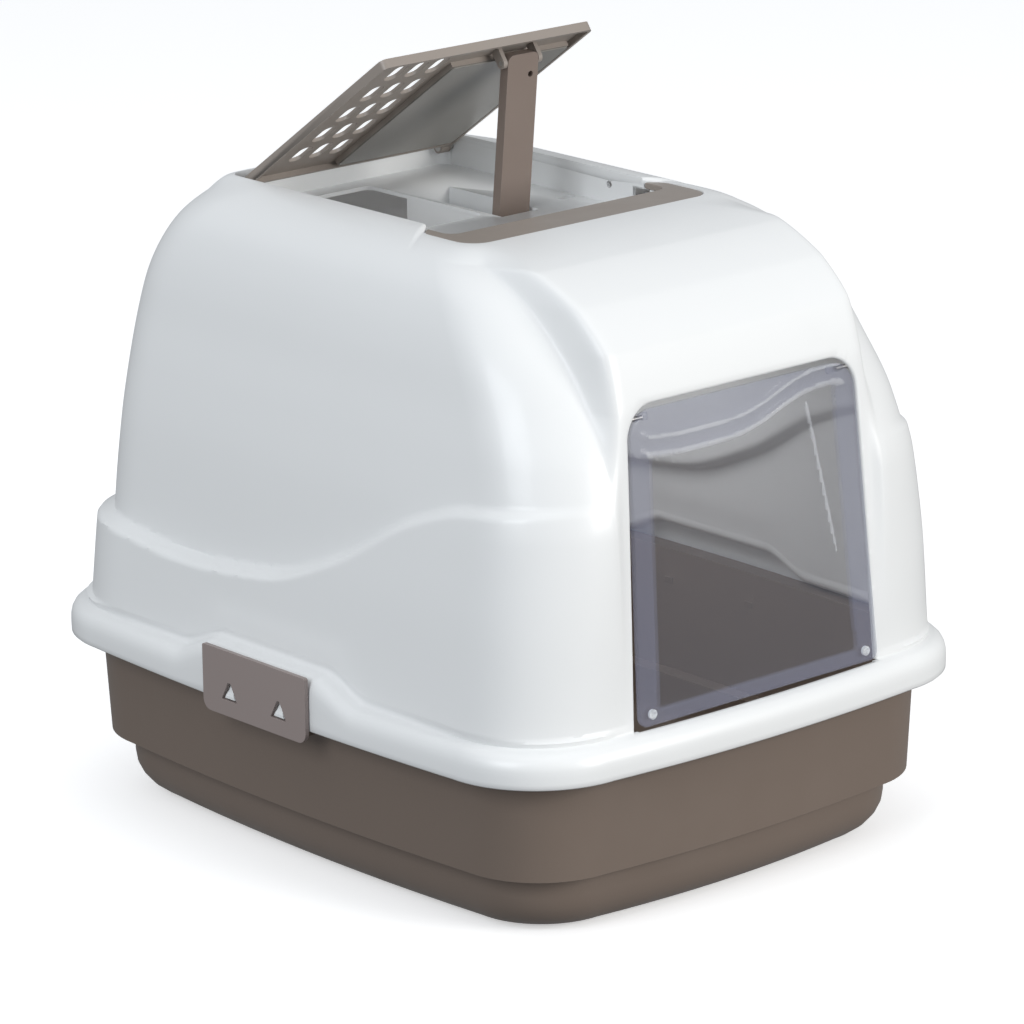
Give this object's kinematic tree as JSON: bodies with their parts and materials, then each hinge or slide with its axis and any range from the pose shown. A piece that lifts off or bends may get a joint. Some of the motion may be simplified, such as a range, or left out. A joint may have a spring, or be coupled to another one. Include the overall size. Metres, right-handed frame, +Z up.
{
  "type": "cat litter box with hood",
  "caption": "Hooded cat litter box: deep tray, clipped-on hood with a clear swing door, and a roof hatch propped open over a recessed deck.",
  "frame": {"origin": "centre of the tray's underside, on the floor", "axes": "+Z up, the door faces -Y, +X is the width"},
  "size_m": [0.4066, 0.5, 0.4983],
  "materials": {
    "tray_plastic": "moulded taupe plastic, satin",
    "hood_plastic": "glossy white moulded plastic",
    "trim_plastic": "moulded taupe plastic, satin",
    "clip_plastic": "moulded taupe plastic, satin",
    "prop_plastic": "moulded taupe plastic, satin",
    "cover_plastic": "smooth grey plastic sheet",
    "carbon_felt": "black carbon felt",
    "clear_plastic": "clear smoky plastic",
    "white_plastic": "white moulded plastic",
    "pin_steel": "plain steel pin"
  },
  "bodies": {
    "base": {"tray": "tray_plastic", "hood": "hood_plastic", "roof_frame": "trim_plastic", "clip_pin_left": "pin_steel", "clip_pin_right": "pin_steel"},
    "hatch": {"hatch_lid": "trim_plastic", "hatch_hinge_pins": "pin_steel", "filter_pad": "carbon_felt", "filter_cover": "cover_plastic", "prop_pin": "pin_steel"},
    "prop": {"hatch_prop": "prop_plastic"},
    "door": {"door_flap": "clear_plastic", "door_hinge_pins": "pin_steel", "door_bumpers": "white_plastic"},
    "clip_left": {"clip_left": "clip_plastic"},
    "clip_right": {"clip_right": "clip_plastic"}
  },
  "joints": [
    {"name": "hatch_hinge", "type": "hinge", "parent": "base", "child": "hatch", "pos_m": [0, 0.147, 0.3955], "axis": [-1, 0, 0], "range_deg": [-34.88, 10]},
    {"name": "prop_fold", "type": "hinge", "parent": "hatch", "child": "prop", "pos_m": [0.0304, 0.01117, 0.48044], "axis": [-1, 0, 0], "range_deg": [-49.2, 14.2]},
    {"name": "door_swing", "type": "hinge", "parent": "base", "child": "door", "pos_m": [0, -0.2188, 0.3165], "axis": [-1, 0, 0], "range_deg": [-80, 55]},
    {"name": "clip_left_hinge", "type": "hinge", "parent": "base", "child": "clip_left", "pos_m": [-0.1975, 0, 0.103], "axis": [0, -1, 0], "range_deg": [0, 100]},
    {"name": "clip_right_hinge", "type": "hinge", "parent": "base", "child": "clip_right", "pos_m": [0.1975, 0, 0.103], "axis": [0, 1, 0], "range_deg": [0, 100]}
  ],
  "couplings": [
    {"joint": "prop_fold", "follows": "hatch_hinge", "ratio": 1.4077}
  ]
}
